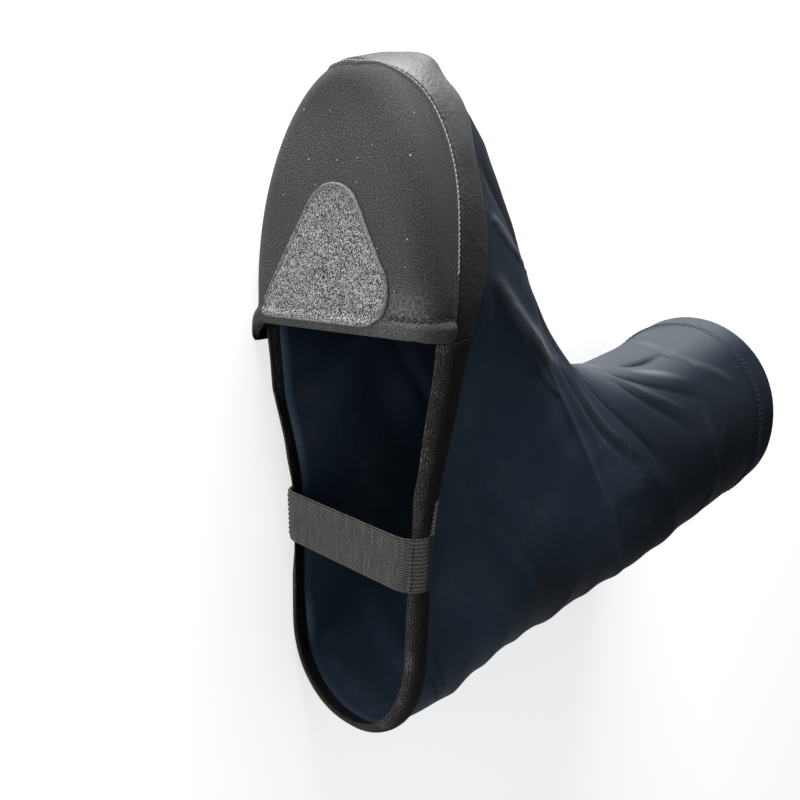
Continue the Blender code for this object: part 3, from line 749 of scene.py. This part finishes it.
edge_steps = HEM_AT + HEM_ROUND * (1 - np.cos(np.linspace(0, math.pi / 2, HEM_EDGE_RUNGS)))
hem_steps = np.linspace(HEM_AT + HEM_ROUND + 0.4, HEM_STITCH_AT + 4.0, HEM_RUNGS)
hem_turns = turn_at(np.concatenate((edge_steps, hem_steps)))
turns = np.concatenate((hem_turns, np.linspace(hem_turns[-1], math.pi, SOLE_RUNGS)[1:]))
outer, inner = sole_grid(turns, False), sole_grid(turns, True)
half_sole = wall("half_sole_knit", outer, inner, unrolled(outer), unrolled(inner), closed=False, merge=True)
own(half_sole, dusty_knit(), "sole_knit", "half_sole")

# Grip patch
# The grip patch is a round-cornered triangle of gritty grey non-slip sheet under the ball.
# It is sewn flat on the half sole all round, close to its lighter, pressed edge.
PATCH_WALL = 1.3
PATCH_CORNERS = ((272.5, 3.5), (198.0, -50.5), (198.5, 45.8))
PATCH_ROUND = (18.0, 5.0, 15.5)
PATCH_EDGE_ROUND, PATCH_EDGE = 1.1, 0.11
PATCH_BORDER, PATCH_BORDER_FALL = 1.3, 0.8
PATCH_STITCH_IN = 1.9
PATCH_POINTS, PATCH_RINGS = 360, 64
GRIT_HEIGHT, GRIT_FROM, GRIT_SEED = 0.07, (1.2, 2.8), 7


def spread(at, run, values):
    """Rows of values at distances along a line."""
    return np.stack([np.interp(at, run, column) for column in values.T], axis=-1)


def rounded_outline(corners, radii, count):
    """Evenly spaced points round a polygon whose corners are turned by arcs."""
    points = []
    for number, radius in enumerate(radii):
        here = np.array(corners[number])
        back = np.array(corners[number - 1]) - here
        ahead = np.array(corners[(number + 1) % len(corners)]) - here
        back, ahead = back / np.linalg.norm(back), ahead / np.linalg.norm(ahead)
        half_angle = math.acos(float(np.dot(back, ahead))) / 2
        middle = (back + ahead) / np.linalg.norm(back + ahead)
        centre = here + middle * radius / math.sin(half_angle)
        first = here + back * radius / math.tan(half_angle) - centre
        last = here + ahead * radius / math.tan(half_angle) - centre
        sweep = math.pi - 2 * half_angle
        for part in np.linspace(0, 1, 25):
            weight = math.sin((1 - part) * sweep), math.sin(part * sweep)
            points.append(centre + (first * weight[0] + last * weight[1]) / math.sin(sweep))
    points = np.array(points + points[:1])
    run = run_along(points)
    return spread(np.linspace(0, run[-1], count, endpoint=False), run, points)


def grit():
    """Grains of light and dark grit in a grey binder, with a smoother, paler border, and painted shade
    towards the toe end.
    """
    finish = Finish("grit")
    place = finish.cut()
    along, border = finish.split(place)[::2]
    grains = finish.split(finish.cells(place, 2.8, "Color"))[0]
    round_grains = finish.cells(place, 2.8, "Distance")
    fine = finish.grain(place, 2.6, 2.0, 0.6)
    tone = (grains * 0.70 + fine * 0.70).above(0.50, 0.94)
    stone = finish.mix(tone ** 2.0, rgb(0.004, 0.004, 0.004), rgb(0.46, 0.46, 0.46))
    # painted shade: the patch is darkened towards its toe end
    stone = finish.mix(along.above(222.0, 266.0) * 0.40, stone, rgb(0.050, 0.050, 0.050))
    edge = border.above(0.0, 1.0)
    finish.set(base_color=finish.mix(edge * 0.7, stone, rgb(0.14, 0.14, 0.14)))
    finish.set(roughness=0.95 - 0.25 * grains)
    finish.set(specular_ior_level=0.35)
    finish.set(normal=finish.bump((1 - round_grains) * (1 - edge * 0.6), 0.0005, 0.7))
    return finish.material


patch_edge = rounded_outline(PATCH_CORNERS, PATCH_ROUND, PATCH_POINTS)
patch_centre = patch_edge.mean(axis=0)
reach = np.linalg.norm(patch_edge - patch_centre, axis=1)[:, None]
share = 1 - np.linspace(0, 1, PATCH_RINGS)[None, :] ** 1.3
depth = reach * (1 - share)
flat = patch_centre + (patch_edge - patch_centre)[:, None] * share[..., None]
rise = end_cap(np.maximum(depth, PATCH_EDGE), PATCH_EDGE_ROUND, 2)
rough = np.random.RandomState(GRIT_SEED).uniform(-1, 1, depth.shape) * ramp(depth, *GRIT_FROM)
swell = 0.22 * np.exp(-((depth - 0.7) / 0.5) ** 2) - 0.25 * np.exp(-((depth - PATCH_STITCH_IN) / 0.6) ** 2)
flat_offset = sole_offset(np.maximum(flat[..., 0], HEM_AT + HEM_ROUND))
face = SEAT_GAP + PATCH_WALL * rise + swell + GRIT_HEIGHT * rough
top = under(flat[..., 0], flat[..., 1], flat_offset + face)
bottom = under(flat[..., 0], flat[..., 1], flat_offset + SEAT_GAP)
border = ramp(depth, PATCH_BORDER, PATCH_BORDER - PATCH_BORDER_FALL)
patch_cut = np.concatenate((flat, border[..., None]), axis=-1)
top, bottom, patch_cut = top[::-1], bottom[::-1], patch_cut[::-1]
patch = wall("grip_patch_grit", top, bottom, patch_cut, patch_cut, closed=True, merge=True)
own(patch, grit(), "grit", "grip_patch")

# Edge band
# The edge band is a soft stretch knit sewn round the rear opening, from one end of the hem round the
# heel to the other. It is rolled under the sole's edge, and its brushed face has pale flecks along the rim,
# partly fuzz and partly a painted highlight where the rim catches the light.
BAND_LIP = np.array(((-10, 4), (20, 4.5), (37, 5.3), (78, 5.6), (123, 6.1), (139, 7.3), (194, 7.5)), float)
BAND_COLUMNS, BAND_ROWS = 300, 30
BAND_BULGE, BAND_EDGE = 3.0, 0.15
BAND_WAVE, BAND_WAVE_LENGTH = 0.25, 17.0
BAND_PRESS, BAND_PRESSED = 1.2, (64.0, 82.0, 113.0, 131.0)


def brushed_knit():
    """Black stretch knit, brushed to a nap whose pale flecks along its rim are partly fuzz and partly a
    painted highlight where the rolled rim catches the light.
    """
    finish = Finish("stretch_band")
    place = finish.cut()
    along, up, rim = finish.split(place)
    loops = (along * 4.4 + up * 4.4).sin() * (along * 4.4 - up * 2.2).sin()
    fleck = finish.grain(place, 1.7, 2.0, 0.7)
    patchy = finish.grain(place, 0.09, 3.0)
    # pale flecks along the rim: partly brushed fuzz, partly a painted highlight where the rolled rim
    # catches the light
    rubbed = 0.03 + rim * (0.18 + patchy.above(0.45, 0.75) * 0.6)
    nap = (fleck + loops * 0.10).above(0.46, 0.70) * rubbed + rim * 0.02
    finish.set(base_color=finish.mix(nap, rgb(0.0105, 0.0102, 0.0102), rgb(0.28, 0.28, 0.275)))
    finish.set(roughness=0.9 + 0.08 * fleck)
    finish.set(specular_ior_level=0.1)
    knit = finish.bump(loops * 0.5 + 0.5, 0.00016, 0.6)
    finish.set(normal=finish.bump(fleck, 0.0005, 0.7, knit))
    return finish.material


shy = SEAT_GAP / (math.sin(HEM_TURN) * SPRING_END / 2)
turn = np.linspace(-HEM_TURN + shy, HEM_TURN - shy, BAND_COLUMNS)[:, None]
share = ((1 - np.cos(np.linspace(0, math.pi, BAND_ROWS))) / 2)[None, :]
wave = np.array([[noise.noise(Vector(p) / BAND_WAVE_LENGTH)] for p in form(turn[:, 0], 4.0)])
low = through(BAND_LIP, along_shoe(turn))[..., 1] - 0.35 * wave
top = edge_girth(COVER_TOP, turn)
girth = low + (top - low) * share
bulge = (1 - np.abs(2 * share - 1) ** BAND_BULGE) ** (1 / BAND_BULGE)
along = along_shoe(turn)
pressed = ramp(along, BAND_PRESSED[0], BAND_PRESSED[1]) * ramp(along, BAND_PRESSED[3], BAND_PRESSED[2])
thick = BAND_OUT - BAND_PRESS * pressed - COVER_IN - BAND_EDGE
body = COVER_IN + BAND_EDGE + thick * bulge * (1 + 0.06 * wave)
outer = layer(turn, girth, body, BAND_WAVE * wave * (1 - share) + 0 * girth)
inner = layer(turn, girth, COVER_IN + 0 * girth)
rim_share = np.exp(-((share - 0.16) / 0.17) ** 2) + 0 * turn
run = run_along(outer[:, BAND_ROWS // 2])[:, None]
cut = np.stack((run + 0 * girth, girth, rim_share), axis=-1)
band = wall("edge_band_knit", outer, inner, cut, cut, closed=False)
own(band, brushed_knit(), "stretch_band", "edge_band")

# Arch strap
# The arch strap is 25 mm ribbed elastic webbing, dark grey, stretched straight under the arch.
# Its ends turn up over the band on both sides and are sewn there.
STRAP_IN, STRAP_WALL = BAND_OUT - BAND_PRESS + 0.4, 1.5
STRAP_LAT, STRAP_MED = (81.0, 107.0), (88.0, 113.0)
STRAP_TOP = 8.0
STRAP_RIBS, STRAP_END_RIBS, STRAP_RIB_HEIGHT = 23, 14, 0.14
STRAP_LINES, STRAP_TURN_STEPS, STRAP_ACROSS_STEPS = 120, 26, 130
STRAP_EDGE_ROUND, STRAP_EDGE = 0.9, 0.3


def ribbed_elastic():
    """Woven elastic: dark ribs along the strap with paler yarns between them, and painted shade at its
    outer end.
    """
    finish = Finish("elastic_web")
    place = finish.cut()
    along, across = finish.split(place)[:2]
    turned = 1 - along.above(10.0, 12.0)
    fleck = finish.grain(place, 1.7, 2.0, 0.7)
    slant = finish.grain(place, 0.9, 2.0, 0.6)
    rib = (across * (2 * math.pi * STRAP_RIBS) + slant * 1.6).sin() * 0.5 + 0.5
    pick = (along * 4.2 + across * (math.pi * STRAP_RIBS) + slant * 3.0).sin() * 0.5 + 0.5
    end_rib = (across * (2 * math.pi * STRAP_END_RIBS)).sin() * 0.5 + 0.5
    end_pick = (along * 6.0 + across * (2 * math.pi * STRAP_END_RIBS)).sin() * 0.5 + 0.5
    run = (rib * 0.38 + pick * 0.11 + fleck * 0.66).above(0.40, 0.90)
    # painted shade: the strap's outer end stays dark over its first millimetres
    end = (end_rib * 0.34 + end_pick * 0.46 + fleck * 0.40).above(0.44, 0.86) * along.above(1.4, 3.4)
    yarn = run + turned * (end - run)
    finish.set(base_color=finish.mix(yarn, rgb(0.008, 0.0078, 0.0072), rgb(0.128, 0.122, 0.111)))
    finish.set(roughness=0.80 + 0.12 * fleck)
    finish.set(specular_ior_level=0.3, sheen_weight=0.08)
    finish.set(normal=finish.bump(yarn, 0.00040, 0.8))
    return finish.material


def strap_grid(offset):
    """Lengthwise lines of the strap: up one side, across under the arch and up the other."""
    share = np.linspace(0, 1, STRAP_LINES)[:, None]
    ends = (turn_at(STRAP_LAT[0] + (STRAP_LAT[1] - STRAP_LAT[0]) * share),
            -turn_at(STRAP_MED[0] + (STRAP_MED[1] - STRAP_MED[0]) * share))
    girth = np.linspace(float(girth_at(STRAP_TOP)), 0.0, STRAP_TURN_STEPS)[None, :]
    sides = [layer(turn, girth + 0 * turn, offset[:, None] + 0 * girth) for turn in ends]
    part = np.linspace(0, 1, STRAP_ACROSS_STEPS)[None, 1:-1, None]
    across = sides[0][:, -1:] + (sides[1][:, -1:] - sides[0][:, -1:]) * part
    return np.concatenate((sides[0], across, sides[1][:, ::-1]), axis=1)


share = np.linspace(0, 1, STRAP_LINES)
strap_width = STRAP_LAT[1] - STRAP_LAT[0]
rise = round_edges(share, strap_width, STRAP_EDGE_ROUND)
ribs = STRAP_RIB_HEIGHT * (np.abs(np.sin(math.pi * STRAP_RIBS * share)) - 1)
outer = strap_grid(STRAP_IN + STRAP_EDGE + (STRAP_WALL - STRAP_EDGE) * rise + ribs * rise)
inner = strap_grid(STRAP_IN + 0 * share)
run = run_along(outer)
cut = np.stack((run, share[:, None] + 0 * run, 0 * run), axis=-1)
strap = wall("arch_strap_web", outer[::-1], inner[::-1], cut[::-1], cut[::-1], closed=False)
own(strap, ribbed_elastic(), "elastic_web", "arch_strap")

# Sewing
# Rows of lockstitch hold the pieces together: a pale rope-like topstitch along the sole seam and round
# the patch, dark thread in the hem, the strap's ends and the collar, and an overlock on the band's edge.
# At the rear of the sole seam's outer side the topstitch is drawn in the dark thread, as painted shade.
STITCH_SIDES, STITCH_RINGS = 7, 7


def sew(name, starts, ends, normals, radius, arch, finish, slot):
    """One piece of thread: a short, arched stitch from each start to its end."""
    part = np.linspace(0, 1, STITCH_RINGS)
    angle = np.linspace(0, 2 * math.pi, STITCH_SIDES, endpoint=False)
    along = ends - starts
    along = along / np.linalg.norm(along, axis=1, keepdims=True)
    across = np.cross(along, normals)
    across = across / np.linalg.norm(across, axis=1, keepdims=True)
    upward = np.cross(across, along)
    thick = radius * np.clip(np.sin(math.pi * np.clip(part, 0.02, 0.98)), 0, 1) ** 0.45
    centre = starts[:, None] + (ends - starts)[:, None] * part[None, :, None]
    centre = centre + upward[:, None] * (arch * np.sin(math.pi * part))[None, :, None]
    ring = across[:, None, None] * np.cos(angle)[None, None, :, None]
    ring = ring + upward[:, None, None] * np.sin(angle)[None, None, :, None]
    points = settle(centre[:, :, None] + ring * thick[None, :, None, None], BAND_OUT)
    count = len(starts)
    base = (np.arange(count) * STITCH_RINGS * STITCH_SIDES)[:, None, None]
    step = np.arange(STITCH_RINGS - 1)[None, :, None] * STITCH_SIDES
    side = np.arange(STITCH_SIDES)[None, None, :]
    after = (side + 1) % STITCH_SIDES
    quads = np.stack((base + step + side, base + step + after, base + step + STITCH_SIDES + after,
                      base + step + STITCH_SIDES + side), axis=-1)
    faces = quads.reshape(-1, 4).tolist()
    for number in range(count):
        first = number * STITCH_RINGS * STITCH_SIDES
        last = first + (STITCH_RINGS - 1) * STITCH_SIDES
        faces.append(list(range(first, first + STITCH_SIDES))[::-1])
        faces.append(list(range(last, last + STITCH_SIDES)))
    points = points.reshape(-1, 3)
    own(link_mesh(name, points, faces, 0 * points), finish, slot)


def thread(name, colour, dark):
    """Twisted thread."""
    finish = Finish(name)
    twist = finish.grain(finish.place(), 1500.0, 2.0, 0.6)
    finish.set(base_color=finish.mix(twist.above(0.3, 0.7), dark, colour))
    finish.set(roughness=0.6 + 0.2 * twist, specular_ior_level=0.35)
    finish.set(normal=finish.bump(twist, 0.0002, 0.6))
    return finish.material


def row_of_stitches(name, line, normals, length, gap, radius, arch, finish, slot, slant=0.0):
    """Stitches along a line of points with their outward directions."""
    run = run_along(line)
    at = np.arange(0.0, run[-1], length)
    spots, up = spread(at, run, line), spread(at, run, normals)
    step = spots[1:] - spots[:-1]
    sideways = np.cross(step, up[:-1]) * slant
    starts = spots[:-1] + step * gap / 2 - sideways
    ends = spots[1:] - step * gap / 2 + sideways
    sew(name, starts, ends, up[:-1], radius, arch, finish, slot)


pale_thread = thread("pale_thread", rgb(0.30, 0.30, 0.295), rgb(0.10, 0.10, 0.10))
dark_thread = thread("dark_thread", rgb(0.030, 0.030, 0.031), rgb(0.008, 0.008, 0.008))
navy_thread = thread("navy_thread", rgb(0.020, 0.027, 0.040), rgb(0.008, 0.011, 0.018))

SEAM_STITCH, SEAM_STITCH_IN = 2.2, 1.0
SEAM_SHADED_TO = 219.0
# painted shade: the rear of the seam's outer side is drawn in the dark thread where the pale topstitch lies
# in shade
for row_name, turn_from, turn_to, seam_thread in (
    ("seam_topstitch", float(turn_at(SEAM_SHADED_TO)), 2 * math.pi - HEM_TURN - 0.012, pale_thread),
    ("seam_topstitch_shaded_end", HEM_TURN + 0.012, float(turn_at(SEAM_SHADED_TO)), dark_thread),
):
    turn = np.linspace(turn_from, turn_to, 400)
    girth = edge_girth(UPPER_FOOT, turn) - SEAM_STITCH_IN
    line = layer(turn, girth, SOLE_LIP + 0.02 + 0 * turn)
    row_of_stitches(row_name, line, form_normal(turn, girth), SEAM_STITCH, -0.30, 0.36, 0.14, seam_thread,
                    "sole_knit", slant=0.14)

PATCH_STITCH = 2.1
inward = patch_centre - patch_edge
inward = inward / np.linalg.norm(inward, axis=1, keepdims=True)
ring = np.concatenate((patch_edge, patch_edge[:1])) + PATCH_STITCH_IN * np.concatenate((inward, inward[:1]))
ring_offset = sole_offset(np.maximum(ring[:, 0], HEM_AT + HEM_ROUND)) + SEAT_GAP + PATCH_WALL - 0.10
line = under(ring[:, 0], ring[:, 1], ring_offset)
down = np.array((0.0, 0.0, -1.0))
patch_thread = thread("patch_thread", rgb(0.22, 0.22, 0.215), rgb(0.08, 0.08, 0.08))
row_of_stitches("patch_stitch", line, down + 0 * line, PATCH_STITCH, 0.20, 0.24, 0.10, patch_thread, "grit")

HEM_STITCH_TO, HEM_STITCH_BELOW = 33.0, 3.0     # the row runs up to the patch, from below the seam
hem_turn = float(turn_at(HEM_STITCH_AT))
ends = form(hem_turn, 0.0), form(-hem_turn, 0.0)
across = np.linspace(ends[0][1], ends[1][1], 200)
across = across[across > HEM_STITCH_TO]
along = np.full(len(across), HEM_STITCH_AT)
line = under(along, across, sole_offset(along))
side = np.linspace(0.0, float(edge_girth(UPPER_FOOT, np.array(hem_turn))) - HEM_STITCH_BELOW, 30)[::-1]
up_line = layer(np.full(30, hem_turn), side, sole_offset(np.full(30, HEM_STITCH_AT)))
normal = np.concatenate((form_normal(np.full(30, hem_turn), side), down + 0 * line))
line = np.concatenate((up_line, line))
row_of_stitches("hem_stitch", line, normal, HEM_STITCH_PITCH, 0.22, 0.55, 0.30, dark_thread,
                "sole_knit", slant=0.16)

STRAP_STITCH, STRAP_STITCH_LEVEL = 2.4, 2.2
for side_name, edges, sign in (("outer", STRAP_LAT, 1.0), ("inner", STRAP_MED, -1.0)):
    turn = sign * turn_at(np.linspace(edges[0] + 1.2, edges[1] - 1.2, 60))
    girth = girth_at(STRAP_STITCH_LEVEL) + 0 * turn
    line = layer(turn, girth, STRAP_IN + STRAP_WALL + 0 * turn)
    row_of_stitches(f"strap_stitch_{side_name}", line, form_normal(turn, girth), STRAP_STITCH, 0.18,
                    0.34, 0.14, dark_thread, "elastic_web")

OVERLOCK_STEP, OVERLOCK_REACH, OVERLOCK_SLANT = 1.9, (-2.6, 2.2), 2.4
OVERLOCK_RUN = (105.5, 121.5)
grey_thread = thread("grey_thread", rgb(0.200, 0.212, 0.230), rgb(0.060, 0.064, 0.070))
for side_name, sign in (("outer", 1.0), ("inner", -1.0)):
    x = np.arange(OVERLOCK_RUN[0], OVERLOCK_RUN[1], OVERLOCK_STEP)
    turn = sign * turn_at(x)
    edge = edge_girth(COVER_TOP, turn)
    slanted = sign * turn_at(x + OVERLOCK_SLANT)
    starts = layer(turn, edge + OVERLOCK_REACH[0], BAND_OUT - 0.5 + 0 * turn)
    ends = layer(slanted, edge + OVERLOCK_REACH[1], UPPER_WALL + 0.25 + 0 * turn)
    sew(f"overlock_{side_name}", starts, ends, form_normal(turn, edge), 0.36, 0.60, grey_thread,
        "stretch_band")

COLLAR_STITCH = 3.2
turn = np.linspace(0, 2 * math.pi, 500)
for number, level in enumerate((COLLAR_LEVEL - COLLAR_HEM + 2.4, COLLAR_LEVEL - COLLAR_HEM + 5.2)):
    girth = girth_at(level) + 0 * turn
    line = layer(turn, girth, COLLAR_WALL + 0 * turn, cloth_lift(turn, girth) + 0.05)
    row_of_stitches(f"collar_stitch_{number}", line, form_normal(turn, girth), COLLAR_STITCH, 0.16,
                    0.34, 0.16, navy_thread, "coated_cloth")

# Studio
# A plain white floor under two large soft lamps, one in front of the sole and one beyond the toe.
# The camera stands where it sees the underside with the toe at the top of the picture.
FLOOR_HALF, FLOOR_GLOW = 6.0, 0.60
CAMERA_EYE, CAMERA_AIM, CAMERA_UP = (265.4, 305.0, -281.7), (161.3, 16.9, 20.2), (0.97, -0.14, 0.20)
CAMERA_LENS, CAMERA_SENSOR = 43.16, 36.0
LAMP_COLUMNS = ("name", "at", "aim", "size", "power")
LAMPS = (
    ("front_softbox", (-0.30, -1.70, 0.22), (0.0, -0.1, 0.02), (1.5, 0.4), 17.5),
    ("toe_softbox", (-1.62, 0.20, 0.18), (0.0, 0.0, 0.05), (1.4, 0.34), 82.0),
)
WORLD_COLOUR, WORLD_STRENGTH = (0.93, 0.96, 1.0, 1.0), 0.26

floor_mesh = bpy.data.meshes.new("studio_floor")
corners = [(-FLOOR_HALF, -FLOOR_HALF, 0.0), (FLOOR_HALF, -FLOOR_HALF, 0.0),
           (FLOOR_HALF, FLOOR_HALF, 0.0), (-FLOOR_HALF, FLOOR_HALF, 0.0)]
floor_mesh.from_pydata(corners, [], [(0, 1, 2, 3)])
floor = bpy.data.objects.new("studio_floor", floor_mesh)
bpy.context.scene.collection.objects.link(floor)
floor_finish = Finish("studio_white")
floor_finish.set(base_color=rgb(0.90, 0.90, 0.90), roughness=0.9, specular_ior_level=0.1)
floor_finish.set(emission_color=rgb(1.0, 1.0, 1.0), emission_strength=FLOOR_GLOW)
floor_mesh.materials.append(floor_finish.material)


def facing(at, aim, up):
    """A matrix that looks from one point to another with a given upward direction."""
    back = (Vector(at) - Vector(aim)).normalized()
    right = Vector(up).cross(back).normalized()
    turned = Matrix((right, back.cross(right), back)).transposed().to_4x4()
    turned.translation = Vector(at)
    return turned


for row in LAMPS:
    lamp = dict(zip(LAMP_COLUMNS, row))
    light = bpy.data.lights.new(lamp["name"], "AREA")
    light.shape = "RECTANGLE"
    light.size, light.size_y = lamp["size"]
    light.energy = lamp["power"]
    holder = bpy.data.objects.new(lamp["name"], light)
    bpy.context.scene.collection.objects.link(holder)
    holder.matrix_world = facing(lamp["at"], lamp["aim"], (0.0, 0.0, 1.0))

world = bpy.data.worlds.new("studio_air")
world.use_nodes = True
world.node_tree.nodes["Background"].inputs["Color"].default_value = WORLD_COLOUR
world.node_tree.nodes["Background"].inputs["Strength"].default_value = WORLD_STRENGTH
bpy.context.scene.world = world
bpy.context.scene.view_settings.view_transform = "Standard"

camera_data = bpy.data.cameras.new("camera")
camera_data.sensor_width = CAMERA_SENSOR
camera_data.lens = CAMERA_LENS
camera = bpy.data.objects.new("camera", camera_data)
bpy.context.scene.collection.objects.link(camera)
camera.matrix_world = facing(to_frame(CAMERA_EYE), to_frame(CAMERA_AIM), LYING @ np.array(CAMERA_UP))
bpy.context.scene.camera = camera
